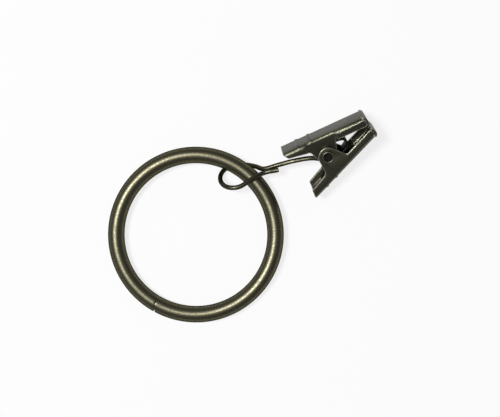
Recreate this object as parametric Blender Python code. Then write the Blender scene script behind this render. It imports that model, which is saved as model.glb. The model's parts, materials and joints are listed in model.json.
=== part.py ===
"""Curtain ring with a spring clip, in antique brass.

A round wire ring carries a loose wire eye, and the eye carries a sprung two-jaw clip on a hollow
rivet. Metres, +Z up. The assembly lies flat on a table at z = 0, the ring level but for the
thickness of the eye's wire under one side of it, and the clip fallen over on one edge.
"""
import math

import bmesh
import bpy
from mathutils import Matrix, Vector

MM = 0.001
CUT_TOLERANCE = 1e-7

# The ring: one round wire, bent to a circle, its two ends butted together.
RING_BORE = 38.0 * MM
RING_WIRE = 4.4 * MM
RING_BUTT_AT = math.radians(239.5)
RING_BUTT_GAP = 0.1 * MM
RING_END_ROUND = 0.35 * MM
END_ROUND_STEPS = 3
RING_SIDES = 16
RING_STEPS = 80

# The eye: a thin wire looped round the ring at one end and round the rivet at the other.
WIRE = 1.25 * MM
LOOP_AT = math.radians(52.75)
LOOP_HEADING = math.radians(15.0)
LOOP_LEAN = math.radians(48.0)
LOOP_LENGTH = 11.5 * MM
LOOP_SLACK = 1.7 * MM
LOOP_INSET = 1.16 * MM
LOOP_TAPER = 0.8
RING_TO_WIRE_GAP = 0.2 * MM
OVER_RING_AT = math.radians(44.5)
CUT_END_GAP = 0.45 * MM
CUT_END_REACH = 3.7 * MM
LAP_LIFT_AT_END = math.radians(40)
LAP_LIFT_AT_NECK = math.radians(50)
NECK_TO_SHANK = 0.21 * MM
SHANK_FROM_MOUTH = math.radians(157.5)
SHANK_DROP = 2.4 * MM
EYE_TURN = math.radians(270)
EYE_START_PAST_SHANK = math.radians(67)
EYE_BEND_PAST_SHANK = math.radians(9)
EYE_BEND_REACH = 3.7 * MM
EYE_STEPS = 18
LOOP_TURNS = range(100, 325, 20)
SHANK_SHARES = (1.0, 0.75, 0.5)
WIRE_ROUNDNESS = 3
WIRE_STEP = 0.5 * MM

# The clip as a whole: where its rivet stands from the loop's middle, and how the clip lies.
PIVOT_REACH = 22.96 * MM
PIVOT_HEADING = math.radians(14.3)
CLIP_HEADING = math.radians(37.0)
CLIP_LEAN = math.radians(20.8)
CLIP_LEAN_TOWARD = math.radians(-80.3)
FLOOR_GAP = 0.02 * MM

# The two jaws, each one blank of sheet that is folded along both sides and across the mouth.
SHEET = 0.6 * MM
CLIP_WIDTH = 7.7 * MM
JAW_HEIGHT = 5.75 * MM
HANDLE_REACH = 10.3 * MM
MOUTH_REACH = 13.2 * MM
FOLD_RADIUS = 0.85 * MM
FOLD_STEPS = 6
LIP_DEPTH = 3.0 * MM
LIP_GAP = 0.06 * MM
CORNER_RELIEF = 0.08 * MM
WALL_TO_LIP = 0.07 * MM
MOUTH_WALL = 2.5 * MM
UPPER_HANDLE_WALL = (1.75 * MM, 2.75 * MM)
LOWER_HANDLE_WALL = (2.45 * MM, 2.85 * MM)
HANDLE_END_SLANT = 0.9 * MM
HANDLE_CORNER_ROUND = 0.8 * MM
WALL_CORNER_ROUND = 0.4 * MM
EAR_ROOT_ROUND = 1.5 * MM
LIP_CORNER_ROUND = 0.7 * MM
EAR_RADIUS = 2.5 * MM
EAR_TAPER = math.radians(19.0)
EAR_GAP = 0.1 * MM
JOGGLE_HALF = 4.05 * MM
JOGGLE_RAMP = 0.9 * MM
JOGGLE_DROP = 0.6 * MM
RIB_HEIGHT = 0.25 * MM
RIB_WIDTH = 1.1 * MM
RIB_FROM_RIVET = 2.5 * MM
RIB_PITCH = 3.4 * MM
RIB_STEPS = 6
CORNER_STEPS = 4
EAR_STEPS = 10

# The hollow rivet.
RIVET_DIAMETER = 2.6 * MM
RIVET_WALL = 0.2 * MM
RIVET_HEAD_DIAMETER = 3.1 * MM
RIVET_HEAD_HEIGHT = 0.36 * MM
RIVET_HOLE_PLAY = 0.06 * MM
RIVET_HEAD_PLAY = 0.05 * MM
EYE_PLAY = 0.1 * MM
ROUND_STEPS = 28
ROLL_STEPS = 6

# The leaf spring.
SPRING_SHEET = 0.5 * MM
SPRING_SIDE_PLAY = 0.12 * MM
SPRING_BEND_RADIUS = 1.5 * MM
SPRING_NOSE = 6.4 * MM
SPRING_PLAY = 0.15 * MM
SPRING_LEG_END = 6.6 * MM
SPRING_NOSE_FROM = 75
SPRING_NOSE_STEP = 25


def clear_scene():
    for obj in list(bpy.data.objects):
        bpy.data.objects.remove(obj, do_unlink=True)


def metal(name, colour, roughness):
    material = bpy.data.materials.new(name)
    material.use_nodes = True
    shader = material.node_tree.nodes["Principled BSDF"]
    shader.inputs["Base Color"].default_value = (*colour, 1.0)
    shader.inputs["Metallic"].default_value = 1.0
    shader.inputs["Roughness"].default_value = roughness
    material.diffuse_color = (*colour, 1.0)
    return material


def frame(name, matrix, parent=None):
    """An empty that carries what is modelled about its origin."""
    empty = bpy.data.objects.new(name, None)
    empty.empty_display_size = RING_WIRE
    bpy.context.scene.collection.objects.link(empty)
    empty.parent = parent
    empty.matrix_local = matrix
    return empty


def add_object(name, data, parent, material):
    obj = bpy.data.objects.new(name, data)
    bpy.context.scene.collection.objects.link(obj)
    obj.parent = parent
    data.materials.append(material)
    return obj


def mesh_from(bm, name, sharp_angle=math.radians(40)):
    mesh = bpy.data.meshes.new(name)
    bmesh.ops.recalc_face_normals(bm, faces=bm.faces)
    bm.to_mesh(mesh)
    bm.free()
    mesh.shade_smooth()
    mesh.set_sharp_from_angle(angle=sharp_angle)
    return mesh


def polar(radius, angle):
    return Vector((radius * math.cos(angle), radius * math.sin(angle), 0.0))


def smooth_path(corners, step):
    """Points about one step apart on the centripetal Catmull-Rom curve through the corners."""
    ends = [2 * corners[0] - corners[1], *corners, 2 * corners[-1] - corners[-2]]
    path = []
    for four in zip(ends, ends[1:], ends[2:], ends[3:]):
        knots = [0.0]
        for a, b in zip(four, four[1:]):
            knots.append(knots[-1] + math.sqrt((b - a).length))
        pieces = max(1, round((four[2] - four[1]).length / step))
        for i in range(pieces):
            path.append(curve_point(four, knots, knots[1] + (knots[2] - knots[1]) * i / pieces))
    path.append(corners[-1].copy())
    return path


def curve_point(four, knots, t):
    """The middle span of the curve through four points, at t, by blending pairs of pairs."""
    def blend(a, b, first, last):
        return a.lerp(b, (t - knots[first]) / (knots[last] - knots[first]))

    sides = [blend(four[i], four[i + 1], i, i + 1) for i in range(3)]
    nearer = [blend(sides[i], sides[i + 1], i, i + 2) for i in range(2)]
    return blend(nearer[0], nearer[1], 1, 2)


def fillet(corner, before, after, radius):
    """The arc of this radius that rounds a corner, as points in the plane."""
    if radius <= 0:
        return [corner]
    towards_before = (before - corner).normalized()
    towards_after = (after - corner).normalized()
    half = towards_before.angle(towards_after) / 2
    run = min(radius / math.tan(half), 0.49 * (before - corner).length, 0.49 * (after - corner).length)
    start = corner + towards_before * run
    end = corner + towards_after * run
    middle = corner + (towards_before + towards_after).normalized() * (run / math.cos(half))
    sweep = (start - middle).angle_signed(end - middle)
    points = []
    for i in range(CORNER_STEPS + 1):
        angle = -sweep * i / CORNER_STEPS
        points.append(middle + Matrix.Rotation(angle, 2) @ (start - middle))
    return points


def rounded_outline(corners):
    """(point, radius) corners of a closed outline, with each corner rounded."""
    outline = []
    for i, (corner, radius) in enumerate(corners):
        before = corners[i - 1][0]
        after = corners[(i + 1) % len(corners)][0]
        outline += fillet(corner, before, after, radius)
    return outline


# --- placing -----------------------------------------------------------------------------------


def ring_matrix():
    """The ring lies on the table on one side and on the eye's wire on the other."""
    mean_radius = (RING_BORE + RING_WIRE) / 2
    lift = WIRE + 2 * FLOOR_GAP + RING_TO_WIRE_GAP
    tilt = math.asin(lift / (2 * mean_radius))
    axis = Vector((math.sin(LOOP_AT), -math.cos(LOOP_AT), 0.0))
    height = RING_WIRE / 2 + FLOOR_GAP + lift / 2
    return Matrix.Translation((0, 0, height)) @ Matrix.Rotation(tilt, 4, axis)


def loop_half_width():
    return RING_WIRE / 2 + WIRE / 2 + LOOP_SLACK


def loop_centre():
    """The loop's lowest strand lies on the table, and its middle sits just inside the ring."""
    place = polar((RING_BORE + RING_WIRE) / 2 - LOOP_INSET, LOOP_AT)
    place.z = FLOOR_GAP + WIRE / 2 + loop_half_width() * math.sin(LOOP_LEAN)
    return place


def clip_rotation():
    """X to the mouth, Y to the upper jaw, Z along the rivet."""
    lean_axis = Vector((-math.sin(CLIP_LEAN_TOWARD), math.cos(CLIP_LEAN_TOWARD), 0.0))
    return Matrix.Rotation(CLIP_LEAN, 4, lean_axis) @ Matrix.Rotation(CLIP_HEADING, 4, "Z")


def closed_angle():
    """How far each jaw turns from the clip's middle plane before the lips meet."""
    tip = Vector((MOUTH_REACH, JAW_HEIGHT - LIP_DEPTH))
    return math.atan2(tip.y, tip.x) - math.asin(LIP_GAP / 2 / tip.length)


def clip_matrix():
    """The clip lies on the far corner of its lower handle."""
    turn = clip_rotation()
    lower = turn @ Matrix.Rotation(closed_angle(), 4, "Z")
    centre = Vector((-HANDLE_REACH, -(JAW_HEIGHT - SHEET / 2 - FOLD_RADIUS), -fold_line()))
    lowest = (lower.to_3x3() @ centre).z - (FOLD_RADIUS + SHEET / 2)
    place = loop_centre() + polar(PIVOT_REACH, PIVOT_HEADING)
    place.z = FLOOR_GAP - lowest
    return Matrix.Translation(place) @ turn


# --- the ring ----------------------------------------------------------------------------------


def ring_stations():
    """(angle round the ring, wire radius) from one butted end round to the other."""
    mean_radius = (RING_BORE + RING_WIRE) / 2
    gap = RING_BUTT_GAP / mean_radius
    span = 2 * math.pi - gap
    rounded = []
    for i in range(END_ROUND_STEPS + 1):
        turned = math.pi / 2 * i / END_ROUND_STEPS
        inset = RING_END_ROUND * (1 - math.cos(turned)) / mean_radius
        rounded.append((inset, RING_WIRE / 2 - RING_END_ROUND * (1 - math.sin(turned))))
    plain = [(span * i / RING_STEPS, RING_WIRE / 2) for i in range(1, RING_STEPS)]
    mirrored = [(span - inset, radius) for inset, radius in reversed(rounded)]
    start = RING_BUTT_AT + gap / 2
    return [(start + angle, radius) for angle, radius in rounded + plain + mirrored]


def make_ring(parent, material):
    mean_radius = (RING_BORE + RING_WIRE) / 2
    bm = bmesh.new()
    rows = []
    for angle, wire_radius in ring_stations():
        row = []
        for i in range(RING_SIDES):
            around = 2 * math.pi * i / RING_SIDES
            place = polar(mean_radius + wire_radius * math.cos(around), angle)
            place.z = wire_radius * math.sin(around)
            row.append(bm.verts.new(place))
        rows.append(row)
    for row, following in zip(rows, rows[1:]):
        for i in range(RING_SIDES):
            j = (i + 1) % RING_SIDES
            bm.faces.new((row[i], row[j], following[j], following[i]))
    bm.faces.new(rows[0])
    bm.faces.new(rows[-1])
    return add_object("ring", mesh_from(bm, "ring"), parent, material)


# --- the eye wire ------------------------------------------------------------------------------


def loop_point(around):
    """A point of the teardrop that goes round the ring's wire, from its neck at 0 degrees.

    At 90 degrees it is underneath the ring, and at 180 degrees at its round inner end.
    """
    along = Vector((math.cos(LOOP_HEADING), math.sin(LOOP_HEADING), 0.0))
    across = Vector((-math.sin(LOOP_HEADING), math.cos(LOOP_HEADING), 0.0))
    under = across * math.cos(LOOP_LEAN) - Vector((0, 0, 1)) * math.sin(LOOP_LEAN)
    width = loop_half_width() * teardrop(around) / max(teardrop(math.radians(turn)) for turn in range(180))
    return loop_centre() + along * (math.cos(around) * LOOP_LENGTH / 2) + under * width


def teardrop(around):
    """The unscaled half width of the loop, which narrows towards its neck."""
    return math.sin(around) * abs(math.sin(around / 2)) ** LOOP_TAPER


def eye_radius():
    return RIVET_DIAMETER / 2 + EYE_PLAY + WIRE / 2


def beside_wire(place, lift):
    """A point next to the shank, this angle up from the side that the cut end lies on."""
    side = Vector((math.sin(LOOP_HEADING), -math.cos(LOOP_HEADING), 0.0))
    return place + (side * math.cos(lift) + Vector((0, 0, 1)) * math.sin(lift)) * (WIRE + CUT_END_GAP)


def shank_length():
    """From the rivet to just short of the loop's neck, wherever the clip stands."""
    return PIVOT_REACH - LOOP_LENGTH / 2 - NECK_TO_SHANK


def eye_wire_path():
    clip = clip_matrix()

    def shank_point(share):
        """Along the shank, which sags from the clip's middle plane towards the loop."""
        straight = clip @ polar(shank_length() * share, SHANK_FROM_MOUTH)
        return straight - Vector((0, 0, SHANK_DROP * share ** 2))

    cut_end = beside_wire(shank_point(1.0 - CUT_END_REACH / shank_length()), LAP_LIFT_AT_END)
    over_ring = ring_matrix() @ polar((RING_BORE + RING_WIRE) / 2, OVER_RING_AT)
    over_ring.z += (RING_WIRE + WIRE) / 2 + RING_TO_WIRE_GAP
    corners = [cut_end, beside_wire(shank_point(1.0), LAP_LIFT_AT_NECK), over_ring]
    corners += [loop_point(math.radians(-turn)) for turn in LOOP_TURNS]
    corners += [shank_point(share) for share in SHANK_SHARES]
    corners.append(clip @ polar(EYE_BEND_REACH, SHANK_FROM_MOUTH + EYE_BEND_PAST_SHANK))
    eye_start = SHANK_FROM_MOUTH + EYE_START_PAST_SHANK
    turns = [eye_start + EYE_TURN * i / EYE_STEPS for i in range(EYE_STEPS + 1)]
    corners += [clip @ polar(eye_radius(), turn) for turn in turns]
    return smooth_path(corners, WIRE_STEP)


def make_eye_wire(parent, material):
    curve = bpy.data.curves.new("eye_wire", "CURVE")
    curve.dimensions = "3D"
    curve.bevel_depth = WIRE / 2
    curve.bevel_resolution = WIRE_ROUNDNESS
    curve.use_fill_caps = True
    path = eye_wire_path()
    spline = curve.splines.new("POLY")
    spline.points.add(len(path) - 1)
    for point, place in zip(spline.points, path):
        point.co = (*place, 1.0)
    spline.use_smooth = True
    return add_object("eye_wire", curve, parent, material)


# --- the jaws ----------------------------------------------------------------------------------


def fold_line():
    """Half the flat width of a jaw's plate, where the side folds start."""
    return CLIP_WIDTH / 2 - SHEET / 2 - FOLD_RADIUS


def fold_length():
    return FOLD_RADIUS * math.pi / 2


def flat_of_height(height):
    """How far from its middle line a point of the blank lies that ends up this far from the rivet."""
    return fold_line() + fold_length() + (JAW_HEIGHT - SHEET / 2 - FOLD_RADIUS - height)


def lip_fold_start():
    return MOUTH_REACH - SHEET / 2 - FOLD_RADIUS


def blank_length():
    """Where the mouth end of the flat blank is, counted from the rivet."""
    straight = LIP_DEPTH - SHEET / 2 - FOLD_RADIUS
    return lip_fold_start() + fold_length() + straight


def fold_relief():
    """Where the side folds end, just short of the fold across the mouth."""
    return lip_fold_start() - CORNER_RELIEF


def side_walls_end():
    """The side walls reach on past their folds, to just behind the lip."""
    return MOUTH_REACH - SHEET - WALL_TO_LIP


def ear_corners():
    """The tapered ear with its round top about the rivet, from the handle to the mouth side."""
    points = []
    first = -math.pi + EAR_TAPER
    last = -EAR_TAPER
    for i in range(EAR_STEPS + 1):
        angle = first + (last - first) * i / EAR_STEPS
        top = polar(EAR_RADIUS, angle)
        points.append((Vector((top.x, flat_of_height(top.y))), 0.0))
    return points


def ear_root(height):
    """Half the ear's width at this height over the rivet, on its tapered sides."""
    return EAR_RADIUS / math.cos(EAR_TAPER) + height * math.tan(EAR_TAPER)


def blank_corners(handle_wall):
    """Half of the blank's outline, as (point, corner radius) from the handle end to the lip."""
    end_edge, root_edge = [JAW_HEIGHT - depth for depth in handle_wall]
    mouth_edge = JAW_HEIGHT - MOUTH_WALL
    wall_starts = fold_line() + fold_length() + WALL_TO_LIP
    relief_side = fold_line() - SHEET / 4
    corners = [
        (Vector((-HANDLE_REACH, fold_line() + fold_length() / 2)), HANDLE_CORNER_ROUND),
        (Vector((-HANDLE_REACH + HANDLE_END_SLANT, flat_of_height(end_edge))), WALL_CORNER_ROUND),
        (Vector((-ear_root(root_edge), flat_of_height(root_edge))), EAR_ROOT_ROUND),
    ]
    corners += ear_corners()
    corners += [
        (Vector((ear_root(mouth_edge), flat_of_height(mouth_edge))), WALL_CORNER_ROUND),
        (Vector((side_walls_end(), flat_of_height(mouth_edge))), WALL_CORNER_ROUND),
        (Vector((side_walls_end(), wall_starts)), 0.0),
        (Vector((fold_relief(), wall_starts)), 0.0),
        (Vector((fold_relief(), relief_side)), 0.0),
        (Vector((lip_fold_start(), relief_side)), 0.0),
        (Vector((lip_fold_start(), CLIP_WIDTH / 2)), 0.0),
        (Vector((blank_length(), CLIP_WIDTH / 2)), LIP_CORNER_ROUND),
    ]
    return corners


def cut_lines(bm, axis, places):
    """Adds edges across the flat blank where it will fold or swell."""
    normal = Vector((1, 0, 0)) if axis == 0 else Vector((0, 1, 0))
    for place in places:
        bmesh.ops.bisect_plane(
            bm,
            geom=bm.verts[:] + bm.edges[:] + bm.faces[:],
            plane_co=normal * place,
            plane_no=normal,
            dist=CUT_TOLERANCE,
        )


def ribs():
    """The middle of each grip rib, counted from the rivet towards the handle's end."""
    return [-RIB_FROM_RIVET, -RIB_FROM_RIVET - RIB_PITCH]


def make_blank(handle_wall, joggled):
    half = blank_corners(handle_wall)
    mirrored = [(Vector((point.x, -point.y)), radius) for point, radius in reversed(half)]
    bm = bmesh.new()
    verts = [bm.verts.new((*point, 0.0)) for point in rounded_outline(half + mirrored)]
    bm.faces.new(verts)
    folds = [fold_line() + fold_length() * i / FOLD_STEPS for i in range(FOLD_STEPS + 1)]
    if joggled:
        folds.append(fold_line() + fold_length() + JOGGLE_DROP)
    cut_lines(bm, 1, [side * place for side in (-1, 1) for place in folds])
    across = [lip_fold_start() + fold_length() * i / FOLD_STEPS for i in range(FOLD_STEPS + 1)]
    for middle in ribs():
        across += [middle + RIB_WIDTH * i / RIB_STEPS for i in range(-RIB_STEPS // 2, RIB_STEPS // 2 + 1)]
    if joggled:
        for side in (-1, 1):
            across += [side * (JOGGLE_HALF + JOGGLE_RAMP * share) for share in (-0.5, 0.0, 0.5)]
    cut_lines(bm, 0, across)
    return bm


def smooth_step(share):
    share = min(1.0, max(0.0, share))
    return share * share * (3 - 2 * share)


def joggle_at(along, across):
    """How far a joggled side wall is set in here. The plate's own edges stay straight."""
    lengthways = smooth_step((JOGGLE_HALF + JOGGLE_RAMP / 2 - abs(along)) / JOGGLE_RAMP)
    down = min(1.0, (abs(across) - fold_line()) / (fold_length() + JOGGLE_DROP))
    return (SHEET + EAR_GAP) * lengthways * down


def rib_at(along, across):
    swell = 0.0
    for middle in ribs():
        share = abs(along - middle) / (RIB_WIDTH / 2)
        if share < 1:
            swell += RIB_HEIGHT * (1 + math.cos(math.pi * share)) / 2
    over_the_fold = (fold_line() + fold_length() - abs(across)) / fold_length()
    return swell * min(1.0, max(0.0, over_the_fold))


def folded(along, across, joggled):
    """Where a point of the flat blank lies once the jaw is folded: the sheet's middle surface."""
    height = JAW_HEIGHT - SHEET / 2
    out = abs(across)
    beside_lip = out > fold_line() + fold_length() + WALL_TO_LIP / 2
    in_wall = out > fold_line() and (beside_lip or along < fold_relief() + CORNER_RELIEF / 2)
    if in_wall:
        turned = min((out - fold_line()) / FOLD_RADIUS, math.pi / 2)
        height -= FOLD_RADIUS * (1 - math.cos(turned)) + max(0.0, out - fold_line() - fold_length())
        inset = joggle_at(along, out) if joggled else 0.0
        out = fold_line() + FOLD_RADIUS * math.sin(turned) - inset
    if along > lip_fold_start() and not beside_lip:
        turned = min((along - lip_fold_start()) / FOLD_RADIUS, math.pi / 2)
        height -= FOLD_RADIUS * (1 - math.cos(turned)) + max(0.0, along - lip_fold_start() - fold_length())
        along = lip_fold_start() + FOLD_RADIUS * math.sin(turned)
    else:
        height += rib_at(along, across)
    return Vector((along, height, math.copysign(out, across)))


def make_drill(parent):
    """The tool that cuts the rivet's holes through both ears of a jaw."""
    bm = bmesh.new()
    bmesh.ops.create_cone(
        bm,
        cap_ends=True,
        segments=ROUND_STEPS,
        radius1=RIVET_DIAMETER / 2 + RIVET_HOLE_PLAY,
        radius2=RIVET_DIAMETER / 2 + RIVET_HOLE_PLAY,
        depth=2 * CLIP_WIDTH,
    )
    drill = bpy.data.objects.new("rivet_drill", bpy.data.meshes.new("rivet_drill"))
    bm.to_mesh(drill.data)
    bm.free()
    bpy.context.scene.collection.objects.link(drill)
    drill.parent = parent
    drill.hide_render = True
    drill.display_type = "WIRE"
    return drill


def make_jaw(name, parent, material, drill, handle_wall, joggled, upper):
    """One jaw, folded from its blank. The lower one is the same kind of stamping, turned over."""
    bm = make_blank(handle_wall, joggled)
    for vert in bm.verts:
        vert.co = folded(vert.co.x, vert.co.y, joggled)
    side = 1.0 if upper else -1.0
    turn = Matrix.Rotation(-side * closed_angle(), 4, "Z")
    if not upper:
        turn = turn @ Matrix.Rotation(math.pi, 4, "X")
    bmesh.ops.transform(bm, matrix=turn, verts=bm.verts)
    jaw = add_object(name, mesh_from(bm, name), parent, material)
    solid = jaw.modifiers.new("sheet", "SOLIDIFY")
    solid.thickness = SHEET
    solid.offset = 0.0
    solid.use_even_offset = True
    holes = jaw.modifiers.new("rivet_holes", "BOOLEAN")
    holes.operation = "DIFFERENCE"
    holes.object = drill
    return jaw


# --- the rivet and the spring ------------------------------------------------------------------


def rivet_profile():
    """Half of the hollow rivet's section, as (radius, height) from its middle to a rolled head."""
    outer = RIVET_DIAMETER / 2
    inner = outer - RIVET_WALL
    head = RIVET_HEAD_DIAMETER / 2
    seat = CLIP_WIDTH / 2 + RIVET_HEAD_PLAY
    top = seat + RIVET_HEAD_HEIGHT
    roll = RIVET_HEAD_HEIGHT / 2
    rim = head - roll
    profile = [(inner, 0.0), (inner, seat - roll)]
    profile.append(((inner + rim) / 2 - RIVET_WALL / 4, top - roll / 2))
    for i in range(ROLL_STEPS + 1):
        angle = math.pi / 2 - math.pi * i / ROLL_STEPS
        profile.append((rim + roll * math.cos(angle), seat + roll + roll * math.sin(angle)))
    profile += [(outer, seat), (outer, 0.0)]
    return profile


def make_rivet(parent, material):
    half = rivet_profile()
    section = half[1:-1] + [(radius, -height) for radius, height in reversed(half[1:-1])]
    bm = bmesh.new()
    rows = []
    for i in range(ROUND_STEPS):
        turned = 2 * math.pi * i / ROUND_STEPS
        places = [polar(radius, turned) + Vector((0, 0, height)) for radius, height in section]
        rows.append([bm.verts.new(place) for place in places])
    for i, row in enumerate(rows):
        following = rows[(i + 1) % ROUND_STEPS]
        for j in range(len(section)):
            k = (j + 1) % len(section)
            bm.faces.new((row[j], row[k], following[k], following[j]))
    return add_object("rivet", mesh_from(bm, "rivet"), parent, material)


def spring_path():
    """The strip's middle line: from the upper handle, round the nose and back to the lower one."""
    plate = JAW_HEIGHT - SHEET - SPRING_PLAY - SPRING_SHEET / 2
    end = Matrix.Rotation(-closed_angle(), 3, "Z") @ Vector((-SPRING_LEG_END, plate, 0.0))
    clear_of_eye = eye_radius() + WIRE / 2 + SPRING_PLAY + SPRING_SHEET / 2
    over_rivet = Vector((0.0, clear_of_eye, 0.0))
    half_way = end.lerp(over_rivet, 0.5) - Vector((0.0, SPRING_PLAY, 0.0))
    upper = [end, half_way, over_rivet]
    middle = SPRING_NOSE - SPRING_SHEET / 2 - SPRING_BEND_RADIUS
    turns = range(SPRING_NOSE_FROM, -1, -SPRING_NOSE_STEP)
    nose = [Vector((middle, 0, 0)) + polar(SPRING_BEND_RADIUS, math.radians(turn)) for turn in turns]
    corners = upper + nose
    corners += [Vector((point.x, -point.y, 0.0)) for point in reversed(corners[:-1])]
    return smooth_path(corners, 2 * SPRING_SHEET)


def make_spring(parent, material):
    half_width = CLIP_WIDTH / 2 - 2 * SHEET - EAR_GAP - SPRING_SIDE_PLAY
    bm = bmesh.new()
    rows = []
    for place in spring_path():
        rows.append([bm.verts.new(place + Vector((0, 0, side * half_width))) for side in (-1, 1)])
    for row, following in zip(rows, rows[1:]):
        bm.faces.new((row[0], row[1], following[1], following[0]))
    spring = add_object("leaf_spring", mesh_from(bm, "leaf_spring"), parent, material)
    solid = spring.modifiers.new("strip", "SOLIDIFY")
    solid.thickness = SPRING_SHEET
    solid.offset = 0.0
    solid.use_even_offset = True
    return spring


def centre_on_table(assembly):
    """Puts the middle of the assembly's footprint over the origin."""
    bpy.context.view_layer.update()
    graph = bpy.context.evaluated_depsgraph_get()
    corners = []
    for obj in bpy.context.scene.objects:
        if obj.type == "EMPTY" or obj.hide_render:
            continue
        shape = obj.evaluated_get(graph)
        corners += [obj.matrix_world @ vert.co for vert in shape.to_mesh().vertices]
        shape.to_mesh_clear()
    lowest = Vector([min(corner[i] for corner in corners) for i in range(3)])
    highest = Vector([max(corner[i] for corner in corners) for i in range(3)])
    middle = (lowest + highest) / 2
    assembly.location = (-middle.x, -middle.y, -lowest.z)
    bpy.context.view_layer.update()


def main():
    clear_scene()
    brass = metal("antique_brass", (0.13, 0.115, 0.07), 0.33)
    jaw_brass = metal("antique_brass_sheet", (0.12, 0.11, 0.075), 0.38)
    rivet_brass = metal("antique_brass_rivet", (0.11, 0.1, 0.08), 0.35)
    black = metal("black_spring_steel", (0.02, 0.02, 0.022), 0.4)
    assembly = frame("assembly", Matrix.Identity(4))
    ring_frame = frame("ring_frame", ring_matrix(), assembly)
    pivot = frame("pivot", clip_matrix(), assembly)
    make_ring(ring_frame, brass)
    make_eye_wire(assembly, brass)
    drill = make_drill(pivot)
    make_jaw("upper_jaw", pivot, jaw_brass, drill, UPPER_HANDLE_WALL, joggled=True, upper=True)
    make_jaw("lower_jaw", pivot, jaw_brass, drill, LOWER_HANDLE_WALL, joggled=False, upper=False)
    make_rivet(pivot, rivet_brass)
    make_spring(pivot, black)
    centre_on_table(assembly)
    for empty in (ring_frame, pivot):
        place = empty.matrix_world.translation / MM
        axis = empty.matrix_world.to_3x3() @ Vector((0, 0, 1))
        print(empty.name, "at", [round(c, 4) for c in place], "mm, axis", [round(c, 6) for c in axis])


main()
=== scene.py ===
# %% [markdown]
# # A curtain ring with a spring clip
#
# The real object is a ring of brass-plated wire that slides on a curtain rod. A thin wire eye
# hangs on the ring, and a small sprung clip, folded from sheet, swings on the eye. Everything is
# finished in antique brass: a dark brown oxide that is rubbed back, so the metal shines through
# on top of each tube and along each fold.
#
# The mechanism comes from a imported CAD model, where each body already moves on its joint. This
# script dresses that model. Each piece below is made to lie exactly where its CAD node lies.

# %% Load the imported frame
import json
import math

import bpy
from mathutils import Matrix, Vector


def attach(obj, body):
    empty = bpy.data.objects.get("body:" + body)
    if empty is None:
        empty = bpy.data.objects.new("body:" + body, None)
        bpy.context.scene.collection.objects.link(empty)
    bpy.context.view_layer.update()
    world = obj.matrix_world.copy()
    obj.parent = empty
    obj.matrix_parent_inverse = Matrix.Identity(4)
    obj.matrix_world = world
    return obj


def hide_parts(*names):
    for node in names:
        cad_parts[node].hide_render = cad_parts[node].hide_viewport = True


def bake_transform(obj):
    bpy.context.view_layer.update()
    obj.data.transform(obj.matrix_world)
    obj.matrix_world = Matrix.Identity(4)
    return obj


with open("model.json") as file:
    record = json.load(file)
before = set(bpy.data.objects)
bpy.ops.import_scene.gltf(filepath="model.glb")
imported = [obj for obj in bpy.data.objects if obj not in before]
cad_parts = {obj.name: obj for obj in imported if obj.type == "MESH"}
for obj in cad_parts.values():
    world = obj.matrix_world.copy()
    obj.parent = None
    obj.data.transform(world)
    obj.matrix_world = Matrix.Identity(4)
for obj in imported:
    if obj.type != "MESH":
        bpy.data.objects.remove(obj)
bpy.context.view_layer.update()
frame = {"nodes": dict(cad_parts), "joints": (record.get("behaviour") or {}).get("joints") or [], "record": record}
MM = 0.001

# %% [markdown]
# ## Where the ring and the rivet are
#
# The joints of the record say where things turn: the ring's joint lies on the ring's own axis, and
# the clip's joint lies along the rivet. Two small frames built from them let every later step
# work in the piece's own directions, with the ring level or the rivet upright.

# %% Frames from the joints
joints = {joint["name"]: joint for joint in frame["joints"]}


def frame_on(joint):
    """A matrix that puts the origin on the joint and +Z along its axis."""
    axis = Vector(joint["axis"]).normalized()
    turn = Vector((0, 0, 1)).rotation_difference(axis).to_matrix().to_4x4()
    return Matrix.Translation(joint["pos_m"]) @ turn


ring_frame = frame_on(joints["eye_round_ring"])
rivet_frame = frame_on(joints["clip_swing"])
ring_centre = ring_frame.translation
rivet_axis = Vector(joints["clip_swing"]["axis"]).normalized()
print("ring centre in mm:", [round(c / MM, 2) for c in ring_centre])

# %% [markdown]
# ## The camera
#
# The photograph looks straight down on the object from about the length of a forearm. Near
# things, such as the clip's upper edge, are seen a little larger than the table under them, so a
# long lens at that height matches better than a view without perspective would.

# %% Camera
CAMERA_HEIGHT = 300 * MM
VIEW_WIDTH = 133 * MM
VIEW_FROM_RING = Vector((14.41, 6.97, 0)) * MM

camera = bpy.data.objects.new("camera", bpy.data.cameras.new("camera"))
bpy.context.scene.collection.objects.link(camera)
camera.location = ring_centre + VIEW_FROM_RING + Vector((0, 0, CAMERA_HEIGHT))
camera.data.lens = camera.data.sensor_width * CAMERA_HEIGHT / VIEW_WIDTH
camera.data.clip_start = 10 * MM
bpy.context.scene.camera = camera
print("lens:", round(camera.data.lens, 1), "mm")

# %% [markdown]
# ## The floor
#
# The floor is a white disc with a raised rim, so that it also stands behind the object in a low
# view. A white background could be had by flooding it with light, but that would wash out the
# object too. Instead the paper glows by itself, at strength 1, where the camera or a mirrored ray
# meets it. A fifth of it stays plain lit paper, which is what carries the object's shadow.

# %% Floor
FLOOR_RADIUS = 2.0
RIM_HEIGHT = 0.3
RIM_STEPS = 96

bpy.ops.object.select_all(action="DESELECT")
bpy.ops.mesh.primitive_circle_add(vertices=RIM_STEPS, radius=FLOOR_RADIUS, fill_type="NGON")
floor = bpy.context.active_object
floor.name = "floor"
bpy.ops.object.mode_set(mode="EDIT")
bpy.ops.mesh.select_all(action="DESELECT")
bpy.ops.mesh.select_non_manifold()
bpy.ops.mesh.extrude_edges_move(TRANSFORM_OT_translate={"value": (0, 0, RIM_HEIGHT)})
bpy.ops.object.mode_set(mode="OBJECT")
print("floor:", len(floor.data.polygons), "faces")

# %% White paper
PAPER = (0.85, 0.85, 0.85)
WHITE_SHARE = 0.8

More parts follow.
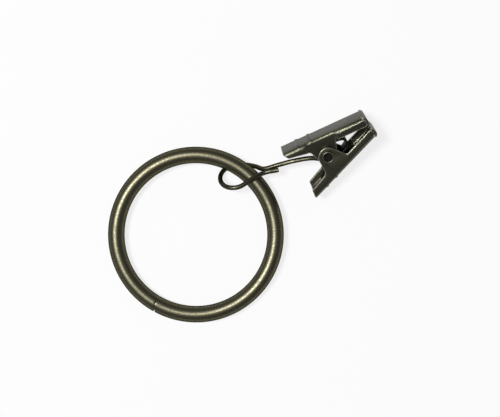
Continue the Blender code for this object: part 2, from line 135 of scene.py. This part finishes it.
paper = bpy.data.materials.new("white_paper")
paper.use_nodes = True
nodes, links = paper.node_tree.nodes, paper.node_tree.links
nodes.clear()
lit = nodes.new("ShaderNodeBsdfDiffuse")
lit.inputs["Color"].default_value = (*PAPER, 1)
white = nodes.new("ShaderNodeEmission")
seen = nodes.new("ShaderNodeLightPath")
mirrored = nodes.new("ShaderNodeMath")
mirrored.operation = "MAXIMUM"
looked_at = nodes.new("ShaderNodeMath")
looked_at.operation = "MAXIMUM"
share = nodes.new("ShaderNodeMath")
share.operation = "MULTIPLY"
share.inputs[1].default_value = WHITE_SHARE
mix = nodes.new("ShaderNodeMixShader")
output = nodes.new("ShaderNodeOutputMaterial")
links.new(seen.outputs["Is Glossy Ray"], mirrored.inputs[0])
links.new(seen.outputs["Is Transmission Ray"], mirrored.inputs[1])
links.new(seen.outputs["Is Camera Ray"], looked_at.inputs[0])
links.new(mirrored.outputs[0], looked_at.inputs[1])
links.new(looked_at.outputs[0], share.inputs[0])
links.new(share.outputs[0], mix.inputs["Fac"])
links.new(lit.outputs[0], mix.inputs[1])
links.new(white.outputs[0], mix.inputs[2])
links.new(mix.outputs[0], output.inputs["Surface"])
floor.data.materials.append(paper)
print("paper:", len(nodes), "nodes")

# %% [markdown]
# ## The light
#
# Metal has no colour of its own to show, only what it reflects, so the room matters more than the
# paint. A bright world or a ring of lamps would light every side of the tubes and make them look
# like plastic. Here a dim world keeps their sides dark, and one soft lamp, up and to the left,
# draws the line along the top of the ring. The line is brightest where the wire runs across the
# lamp's direction, as in the photograph.

# %% Light
WORLD_GREY = 0.18
LAMP_FROM_RING = Vector((-0.27, 0.06, 0.8))
LAMP_SIDE = 0.18
LAMP_POWER = 6.6

world = bpy.data.worlds.new("dim_room")
world.use_nodes = True
room = world.node_tree.nodes["Background"]
room.inputs["Color"].default_value = (WORLD_GREY, WORLD_GREY, WORLD_GREY, 1)
bpy.context.scene.world = world
bpy.context.scene.view_settings.view_transform = "Standard"

lamp = bpy.data.objects.new("soft_lamp", bpy.data.lights.new("soft_lamp", "AREA"))
bpy.context.scene.collection.objects.link(lamp)
lamp.data.size = LAMP_SIDE
lamp.data.energy = LAMP_POWER
lamp.location = ring_centre + LAMP_FROM_RING
lamp.rotation_euler = LAMP_FROM_RING.to_track_quat("Z", "Y").to_euler()
print("lamp at", [round(c, 3) for c in lamp.location])

# %% [markdown]
# ## Antique brass
#
# The finish has three scales. Under about a millimetre, the rubbed-back oxide leaves a mottled
# skin of lighter and darker spots, with a very shallow relief. Along folds and rims the rubbing
# has gone through to bright metal. And the wires stay dark at grazing angles, because the oxide
# in the pores swallows the light. The first two are node groups, shared by all the materials.
# The third is the metal's own tint at its edges, a single colour on the shader.
#
# The mottled skin is a noise whose middle values, where nearly all of it lies, are spread over
# the whole way from dark to light. Its size is given in metres and becomes the noise's scale.

# %% Group: mottled skin
NOISE_LOW, NOISE_HIGH = 0.32, 0.68
NOISE_DETAIL = 4
NOISE_ROUGHNESS = 0.6

mottle = bpy.data.node_groups.new("mottled_skin", "ShaderNodeTree")
socket = mottle.interface.new_socket("Spot Size", in_out="INPUT", socket_type="NodeSocketFloat")
socket.default_value = 0.7 * MM
mottle.interface.new_socket("Light", in_out="OUTPUT", socket_type="NodeSocketFloat")
mottle.interface.new_socket("Relief", in_out="OUTPUT", socket_type="NodeSocketFloat")
nodes, links = mottle.nodes, mottle.links
group_in = nodes.new("NodeGroupInput")
group_out = nodes.new("NodeGroupOutput")
place = nodes.new("ShaderNodeTexCoord")
per_metre = nodes.new("ShaderNodeMath")
per_metre.operation = "DIVIDE"
per_metre.inputs[0].default_value = 1.0
links.new(group_in.outputs["Spot Size"], per_metre.inputs[1])
spots = nodes.new("ShaderNodeTexNoise")
spots.inputs["Detail"].default_value = NOISE_DETAIL
spots.inputs["Roughness"].default_value = NOISE_ROUGHNESS
spread = nodes.new("ShaderNodeMapRange")
spread.inputs["From Min"].default_value = NOISE_LOW
spread.inputs["From Max"].default_value = NOISE_HIGH
links.new(place.outputs["Object"], spots.inputs["Vector"])
links.new(per_metre.outputs[0], spots.inputs["Scale"])
links.new(spots.outputs["Fac"], spread.inputs["Value"])
links.new(spread.outputs[0], group_out.inputs["Light"])
links.new(spots.outputs["Fac"], group_out.inputs["Relief"])
print("mottled skin:", len(nodes), "nodes")

# %% [markdown]
# Worn edges could be painted by hand, but the Bevel node can find them. It gives the direction
# that the surface would face if its edges were rounded. Where that departs from the way the
# surface really faces, an edge is near, and the metal is bare. The group also hands on the
# rounded direction, and the metal is shaded with it, so that even a cut edge half a millimetre
# wide catches a soft line of light.

# %% Group: rubbed edges
COSINE_UNWORN, COSINE_BARE = 0.99, 0.86
EDGE_SAMPLES = 6

rubbed = bpy.data.node_groups.new("rubbed_edges", "ShaderNodeTree")
socket = rubbed.interface.new_socket("Reach", in_out="INPUT", socket_type="NodeSocketFloat")
socket.default_value = 0.2 * MM
rubbed.interface.new_socket("Bare", in_out="OUTPUT", socket_type="NodeSocketFloat")
rubbed.interface.new_socket("Rounded", in_out="OUTPUT", socket_type="NodeSocketVector")
nodes, links = rubbed.nodes, rubbed.links
group_in = nodes.new("NodeGroupInput")
group_out = nodes.new("NodeGroupOutput")
rounded = nodes.new("ShaderNodeBevel")
rounded.samples = EDGE_SAMPLES
surface = nodes.new("ShaderNodeNewGeometry")
agree = nodes.new("ShaderNodeVectorMath")
agree.operation = "DOT_PRODUCT"
bare = nodes.new("ShaderNodeMapRange")
bare.inputs["From Min"].default_value = COSINE_UNWORN
bare.inputs["From Max"].default_value = COSINE_BARE
links.new(group_in.outputs["Reach"], rounded.inputs["Radius"])
links.new(rounded.outputs["Normal"], agree.inputs[0])
links.new(surface.outputs["Normal"], agree.inputs[1])
links.new(agree.outputs["Value"], bare.inputs["Value"])
links.new(bare.outputs[0], group_out.inputs["Bare"])
links.new(rounded.outputs["Normal"], group_out.inputs["Rounded"])
print("rubbed edges:", len(nodes), "nodes")

# %% [markdown]
# One function turns the two groups into a material. The skin blends the oxide with the metal,
# and makes the lighter spots a little glossier, as rubbing does. The bare edges are laid over
# that, and the relief is laid over the rounded edges.

# %% A plated finish
GLOSS_SPREAD = 0.06
RELIEF_STRENGTH = 0.15
RELIEF_DEPTH = 0.03 * MM


def plated(name, oxide, metal, bright, edge_tint, roughness, spot_size, edge_reach):
    """Oxidised plating: spots between two colours, bare bright edges, a tint at grazing angles."""
    material = bpy.data.materials.new(name)
    material.use_nodes = True
    nodes, links = material.node_tree.nodes, material.node_tree.links
    shader = nodes["Principled BSDF"]
    shader.inputs["Metallic"].default_value = 1.0
    shader.inputs["Specular Tint"].default_value = (*edge_tint, 1)
    skin = nodes.new("ShaderNodeGroup")
    skin.node_tree = mottle
    skin.inputs["Spot Size"].default_value = spot_size
    edges = nodes.new("ShaderNodeGroup")
    edges.node_tree = rubbed
    edges.inputs["Reach"].default_value = edge_reach
    body = nodes.new("ShaderNodeMix")
    body.data_type = "RGBA"
    body.inputs["A"].default_value = (*oxide, 1)
    body.inputs["B"].default_value = (*metal, 1)
    links.new(skin.outputs["Light"], body.inputs["Factor"])
    worn = nodes.new("ShaderNodeMix")
    worn.data_type = "RGBA"
    worn.inputs["B"].default_value = (*bright, 1)
    links.new(edges.outputs["Bare"], worn.inputs["Factor"])
    links.new(body.outputs["Result"], worn.inputs["A"])
    links.new(worn.outputs["Result"], shader.inputs["Base Color"])
    gloss = nodes.new("ShaderNodeMapRange")
    gloss.inputs["To Min"].default_value = roughness + GLOSS_SPREAD
    gloss.inputs["To Max"].default_value = roughness - GLOSS_SPREAD
    links.new(skin.outputs["Light"], gloss.inputs["Value"])
    links.new(gloss.outputs[0], shader.inputs["Roughness"])
    relief = nodes.new("ShaderNodeBump")
    relief.inputs["Strength"].default_value = RELIEF_STRENGTH
    relief.inputs["Distance"].default_value = RELIEF_DEPTH
    links.new(skin.outputs["Relief"], relief.inputs["Height"])
    links.new(edges.outputs["Rounded"], relief.inputs["Normal"])
    links.new(relief.outputs[0], shader.inputs["Normal"])
    print(name, "has", len(nodes), "nodes")
    return material


# %% [markdown]
# The six finishes differ in how far they are rubbed. The two wires go almost black at grazing
# angles. The sheet of the jaws is greyer there, and its folds are bare over a wider band. The
# rivet is rubbed the most. Its bore gets a dark copy of the rivet's finish, which is painted shade
# that stands in for the shadow deep inside the hole. The spring is not plated: it is blackened
# steel strip, so its spots are faint and its edges only turn grey.

# %% The six finishes
ring_finish = plated(
    "antique_brass_ring",
    oxide=(0.08, 0.073, 0.045), metal=(0.16, 0.154, 0.105), bright=(0.5, 0.48, 0.36),
    edge_tint=(0.05, 0.05, 0.04), roughness=0.38, spot_size=0.35 * MM, edge_reach=0.2 * MM,
)
wire_finish = plated(
    "antique_brass_wire",
    oxide=(0.05, 0.046, 0.029), metal=(0.11, 0.105, 0.072), bright=(0.5, 0.48, 0.36),
    edge_tint=(0.05, 0.05, 0.04), roughness=0.36, spot_size=0.35 * MM, edge_reach=0.1 * MM,
)
jaw_finish = plated(
    "antique_brass_sheet",
    oxide=(0.075, 0.072, 0.05), metal=(0.13, 0.127, 0.092), bright=(0.66, 0.64, 0.5),
    edge_tint=(0.8, 0.8, 0.84), roughness=0.4, spot_size=0.35 * MM, edge_reach=0.42 * MM,
)
rivet_finish = plated(
    "antique_brass_rivet",
    oxide=(0.12, 0.115, 0.09), metal=(0.24, 0.23, 0.18), bright=(0.85, 0.82, 0.68),
    edge_tint=(0.7, 0.7, 0.65), roughness=0.38, spot_size=0.35 * MM, edge_reach=0.12 * MM,
)
# Painted shade: a dark copy of the rivet's finish for the inside of the bore, where the hole is in shadow.
bore_painted_shade_finish = plated(
    "rivet_bore_painted_shade",
    oxide=(0.02, 0.018, 0.014), metal=(0.035, 0.032, 0.025), bright=(0.04, 0.037, 0.03),
    edge_tint=(0.3, 0.3, 0.3), roughness=0.5, spot_size=0.35 * MM, edge_reach=0.12 * MM,
)
spring_finish = plated(
    "black_spring",
    oxide=(0.02, 0.02, 0.021), metal=(0.05, 0.05, 0.052), bright=(0.2, 0.2, 0.2),
    edge_tint=(0.4, 0.4, 0.4), roughness=0.35, spot_size=0.5 * MM, edge_reach=0.1 * MM,
)
print("finishes:", len(bpy.data.materials) - 1)

# %% [markdown]
# ## Handing a piece over
#
# Every finished piece gets its finish, rides on one body of the mechanism where one is given,
# and takes the place of one CAD node, which is then no longer shown. One function does all of
# that, so that no piece misses a step.

# %% Hand a piece over


def hand_over(piece, material, body, node):
    """Gives a finished piece its material, its body and the CAD node that it stands for."""
    piece.data.materials.clear()
    piece.data.materials.append(material)
    if body:
        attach(piece, body)
    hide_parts(node)
    print(piece.name, "has", len(piece.data.polygons), "faces and stands for", node)


# %% [markdown]
# ## The ring
#
# A real ring is a length of round wire bent to a circle, its two ends butted together. The same
# steps make it here: one round section, spun about the ring's axis for just less than a full
# turn, with its two cut ends filled and slightly rounded. A torus would be quicker, but it has
# no ends. The thickness and the radius are measured on the CAD node.

# %% Ring: sizes
SECTION_SIDES = 40
RING_STEPS = 240
BUTT_AT = math.radians(239.2)
BUTT_GAP = 0.04 * MM

cad_ring = [ring_frame.inverted() @ v.co for v in frame["nodes"]["ring"].data.vertices]
outer_radius = max(co.xy.length for co in cad_ring)
inner_radius = min(co.xy.length for co in cad_ring)
wire_radius = (outer_radius - inner_radius) / 2
mean_radius = (outer_radius + inner_radius) / 2
gap_angle = BUTT_GAP / mean_radius
print("ring wire in mm:", round(2 * wire_radius / MM, 2), "bore:", round(2 * inner_radius / MM, 2))

# %% Ring: bend the wire
bpy.ops.object.select_all(action="DESELECT")
bpy.ops.mesh.primitive_circle_add(
    vertices=SECTION_SIDES, radius=wire_radius,
    location=(mean_radius, 0, 0), rotation=(math.pi / 2, 0, 0),
)
ring = bpy.context.active_object
ring.name = "ring_wire"
bpy.ops.object.transform_apply(location=True, rotation=True, scale=True)
bpy.ops.object.mode_set(mode="EDIT")
bpy.ops.mesh.select_all(action="SELECT")
bpy.ops.mesh.spin(
    steps=RING_STEPS, angle=2 * math.pi - gap_angle, center=(0, 0, 0), axis=(0, 0, 1),
)
bpy.ops.mesh.select_all(action="DESELECT")
bpy.ops.mesh.select_non_manifold()
bpy.ops.mesh.edge_face_add()
bpy.ops.mesh.select_all(action="SELECT")
bpy.ops.mesh.normals_make_consistent(inside=False)
bpy.ops.mesh.select_all(action="DESELECT")
bpy.ops.object.mode_set(mode="OBJECT")
print("bent wire:", len(ring.data.polygons), "faces")

# %% [markdown]
# Wire that is bent so closes first on the inner side, so the ends gape a little towards the outer
# one. The cutter also left them aslant there: the outer half of the wire leans over near the
# joint, and the lean fades within a few degrees. The spin turned clockwise, so the gap lies
# between the angles 0 and gap_angle, with one end on each side of it.

# %% Ring: slant the ends
OUTER_GAPE = 0.17 * MM
OUTER_LEAN = 0.85 * MM
LEAN_FADE = math.radians(8)

leaning = 0
for vertex in ring.data.vertices:
    turned = math.atan2(vertex.co.y, vertex.co.x)
    past_gap = turned > gap_angle / 2
    from_end = turned - gap_angle if past_gap else -turned
    outwards = (vertex.co.xy.length - mean_radius) / wire_radius
    if from_end < LEAN_FADE and outwards > 0:
        shift = OUTER_LEAN * outwards * (1 - max(from_end, 0) / LEAN_FADE)
        if from_end < gap_angle / 4:
            shift += OUTER_GAPE * outwards ** 2 * (1 if past_gap else -1)
        vertex.co = Matrix.Rotation(shift / mean_radius, 3, "Z") @ vertex.co
        leaning += 1
print(leaning, "points lean over")

# %% Ring: round the ends and place it
END_ROUND = 0.15 * MM
BEVEL_STEPS = 3
SMOOTH_BELOW = math.radians(50)

for face in ring.data.polygons:
    face.select = len(face.vertices) == SECTION_SIDES
bpy.ops.object.mode_set(mode="EDIT")
bpy.ops.mesh.select_mode(type="FACE")
bpy.ops.mesh.region_to_loop()
bpy.ops.mesh.bevel(offset=END_ROUND, segments=BEVEL_STEPS, affect="EDGES")
bpy.ops.object.mode_set(mode="OBJECT")
ring.matrix_world = ring_frame @ Matrix.Rotation(BUTT_AT - gap_angle / 2, 4, "Z")
bpy.ops.object.transform_apply(location=True, rotation=True, scale=True)
bpy.ops.object.shade_smooth_by_angle(angle=SMOOTH_BELOW)
hand_over(ring, ring_finish, "ring", "ring")

# %% [markdown]
# ## The eye wire
#
# This is one thin wire that is bent round the ring, runs out as a straight shank and closes as an
# eye round the rivet. A curve with a round bevel is the usual way to make a wire. Here the CAD
# node already follows every bend, and a second route could stray from it. So a merged copy of
# the node is used: its ten flat sides are made smooth with a Subdivision Surface, after it is
# fattened by what that smoothing takes off. Its two cut ends are creased, so that they stay flat.
#
# A CAD node is a mesh of loose triangles. The copy joins them first, and dissolves the lines
# between triangles that lie in one plane, because a modifier would round or bevel those too.

# %% A merged copy of a CAD node
SAME_POINT = 0.0005 * MM
SAME_PLANE = math.radians(0.4)


def copy_of(node, name):
    """A copy of a CAD node's mesh with its loose triangles joined up, selected and active."""
    bpy.ops.object.select_all(action="DESELECT")
    piece = bpy.data.objects.new(name, frame["nodes"][node].data.copy())
    bpy.context.scene.collection.objects.link(piece)
    piece.select_set(True)
    bpy.context.view_layer.objects.active = piece
    bpy.ops.mesh.customdata_custom_splitnormals_clear()
    bpy.ops.object.mode_set(mode="EDIT")
    bpy.ops.mesh.select_mode(type="FACE")
    bpy.ops.mesh.select_all(action="SELECT")
    bpy.ops.mesh.remove_doubles(threshold=SAME_POINT)
    bpy.ops.mesh.dissolve_limited(angle_limit=SAME_PLANE)
    bpy.ops.object.mode_set(mode="OBJECT")
    print(name, "starts with", len(piece.data.polygons), "faces")
    return piece


def smooth_out(piece, smooth_below):
    """Rounds a piece off with a Subdivision Surface."""
    smoothing = piece.modifiers.new("smoothing", "SUBSURF")
    smoothing.levels = smoothing.render_levels = 2
    bpy.ops.object.modifier_apply(modifier=smoothing.name)
    bpy.ops.object.shade_smooth_by_angle(angle=smooth_below)


# %% Eye wire
WIRE_SIDES = 10
END_CREASE = 0.9
FATTEN = 0.036 * MM

eye = copy_of("eye_wire", "bent_eye_wire")
for face in eye.data.polygons:
    face.select = len(face.vertices) >= WIRE_SIDES
bpy.ops.object.mode_set(mode="EDIT")
bpy.ops.mesh.region_to_loop()
bpy.ops.transform.edge_crease(value=END_CREASE)
bpy.ops.mesh.select_all(action="SELECT")
bpy.ops.transform.shrink_fatten(value=FATTEN)
bpy.ops.object.mode_set(mode="OBJECT")
smooth_out(eye, SMOOTH_BELOW)
hand_over(eye, wire_finish, "eye", "eye_wire")

# %% [markdown]
# ## The jaws
#
# Each jaw is folded from one flat blank. The CAD node has its folds, ribs and ears already, so the
# work left is in the edges. A sheet's cut edges look square, but every real edge is broken a
# little, and that small bevel is what catches the light. Bevelling by hand would mean picking
# hundreds of edges. A Bevel modifier that is limited by angle finds them all, and leaves the
# folds alone, because they are already round.

# %% Broken edges
EDGE_BREAK = 0.15 * MM
SHARP = math.radians(35)


def broken_edges(piece):
    """Bevels every sharp edge of the sheet and keeps its flats flat."""
    broken = piece.modifiers.new("broken_edges", "BEVEL")
    broken.width = EDGE_BREAK
    broken.segments = BEVEL_STEPS
    broken.limit_method = "ANGLE"
    broken.angle_limit = SHARP
    broken.use_clamp_overlap = True
    bpy.ops.object.modifier_apply(modifier=broken.name)
    bpy.ops.object.shade_smooth_by_angle(angle=SMOOTH_BELOW)


# %% [markdown]
# At the mouth the press pulls the corners of the side walls in under the lip, which closes the
# notch that a plain fold would leave there. The move is easiest in the jaw's own directions, with
# the rivet as the origin, so a frame for each jaw is built from its plate and the rivet's axis.

# %% Drawn-in corners
CORNER_FROM, CORNER_TO = 11.9 * MM, 12.6 * MM
CORNER_BOTTOM, CORNER_TOP = 4.4 * MM, 5.12 * MM
CORNER_FALL = 0.6
CORNER_INSIDE = 3.0 * MM

plates = {mount["name"]: mount for mount in frame["record"]["mounts"]}


def jaw_frame(plate):
    """A matrix with its origin on the rivet, +X towards the mouth and +Y out of the jaw's plate."""
    out = Vector(plates[plate]["axis"]).normalized()
    along = out.cross(rivet_axis)
    if along.dot(rivet_frame.translation - ring_centre) < 0:
        along.negate()
    turn = Matrix((along, out, along.cross(out))).transposed().to_4x4()
    return Matrix.Translation(rivet_frame.translation) @ turn


def draw_in_corners(piece, place):
    """Raises the side walls' corners up under the lip."""
    to_jaw = place.inverted()
    raised = 0
    for vertex in piece.data.vertices:
        co = to_jaw @ vertex.co
        at_corner = CORNER_FROM < co.x < CORNER_TO and CORNER_BOTTOM < co.y < CORNER_TOP
        if at_corner and abs(co.z) > CORNER_INSIDE:
            co.y = max(co.y, CORNER_TOP - CORNER_FALL * (co.x - CORNER_FROM))
            vertex.co = place @ co
            raised += 1
    print(piece.name, "has", raised, "corner points raised")


# %% Jaws
for node, body in (("upper_jaw", "upper"), ("lower_jaw", "lower")):
    jaw = copy_of(node, node + "_sheet")
    draw_in_corners(jaw, jaw_frame(node + "_plate"))
    broken_edges(jaw)
    hand_over(jaw, jaw_finish, body, node)

# %% [markdown]
# ## The rivet
#
# The rivet is a short tube with rolled rims, peened through all four ears. It could be spun again
# from a finer profile, but its rims are round all over, so smoothing the CAD node, as for the
# wire, gives the same shape. The faces nearer the axis than the bore's radius get a second
# material, a dark one that paints the shadow deep in the hole into the colour, so that the hole
# reads as a hole.

# %% Rivet
BORE_RADIUS = 1.2 * MM
ROLLED_BELOW = math.radians(60)

rivet = copy_of("rivet", "hollow_rivet")
smooth_out(rivet, ROLLED_BELOW)
hand_over(rivet, rivet_finish, "upper", "rivet")
# The second material is painted shade for the inside of the bore.
rivet.data.materials.append(bore_painted_shade_finish)
straight_up = rivet_frame.inverted()
for face in rivet.data.polygons:
    if (straight_up @ face.center).xy.length < BORE_RADIUS:
        face.material_index = 1
print("bore faces:", sum(face.material_index for face in rivet.data.polygons))

# %% [markdown]
# ## The leaf spring
#
# The spring between the jaws is a blackened strip, bent to a U. It follows the upper jaw with one
# leg and the lower jaw with the other, and bends round its nose in between. Left on one body,
# it would cut through the other jaw as the clip opens. Here it is put on neither body: its edges
# are broken and it stays where its CAD node lies.


def middle_of(node):
    """The mean of a CAD node's points."""
    vertices = frame["nodes"][node].data.vertices
    return sum((v.co for v in vertices), Vector()) / len(vertices)


to_upper = middle_of("upper_jaw") - middle_of("lower_jaw")
to_upper = (to_upper - rivet_axis * to_upper.dot(rivet_axis)).normalized()

spring = copy_of("leaf_spring", "bent_leaf_spring")
broken_edges(spring)
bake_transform(spring)
hand_over(spring, spring_finish, None, "leaf_spring")
